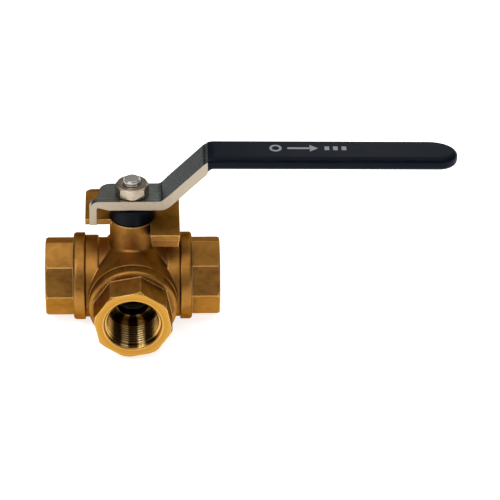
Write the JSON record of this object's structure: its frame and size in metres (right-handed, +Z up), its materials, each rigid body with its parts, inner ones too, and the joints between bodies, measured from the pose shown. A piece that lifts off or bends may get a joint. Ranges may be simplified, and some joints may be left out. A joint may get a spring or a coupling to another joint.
{
  "type": "three way ball valve",
  "caption": "Brass ball valve with three threaded ports in a T, an L-passage ball and a cranked side lever that turns a quarter turn between cast stops.",
  "frame": {"origin": "centre of the ball, where the three port axes cross", "axes": "+X out of the right port and along the lever at rest, -Y out of the front port, +Z up the stem"},
  "size_m": [0.1937, 0.0638, 0.0924],
  "materials": {
    "forged_brass": "as-forged, lightly blasted, satin",
    "machined_brass": "turned, satin with bright port faces",
    "seal_rubber": "matt moulded",
    "seat_plastic": "turned PTFE, waxy",
    "ball_chrome": "polished hard chrome",
    "stem_nickel": "turned, nickel plated",
    "gland_black": "black, satin",
    "zinc_steel": "pressed strip, bright zinc plate",
    "grip_vinyl": "dipped navy-black vinyl, satin",
    "nut_steel": "bright nickel-zinc plate"
  },
  "bodies": {
    "housing": {"valve_body": "forged_brass", "end_connector_left": "machined_brass", "end_connector_right": "machined_brass", "end_connector_front": "machined_brass", "connector_oring_left": "seal_rubber", "connector_oring_right": "seal_rubber", "connector_oring_front": "seal_rubber", "seat_left": "seat_plastic", "seat_right": "seat_plastic", "seat_front": "seat_plastic", "seat_back": "seat_plastic", "stem_thrust_washer": "seat_plastic", "packing_ring_lower": "seat_plastic", "packing_ring_upper": "seat_plastic", "packing_follower": "machined_brass", "gland_nut": "gland_black"},
    "stem_and_lever": {"stem": "stem_nickel", "stem_oring": "seal_rubber", "handle_lever": "zinc_steel", "handle_grip": "grip_vinyl", "handle_nut": "nut_steel"},
    "ball": {"ball": "ball_chrome"}
  },
  "joints": [
    {"name": "lever_turn", "type": "hinge", "parent": "housing", "child": "stem_and_lever", "pos_m": [0, 0, 0], "axis": [0, 0, 1], "range_deg": [0, 90]},
    {"name": "ball_turn", "type": "hinge", "parent": "housing", "child": "ball", "pos_m": [0, 0, 0], "axis": [0, 0, 1], "range_deg": [0, 90]}
  ],
  "couplings": [
    {"joint": "ball_turn", "follows": "lever_turn", "ratio": 1}
  ]
}
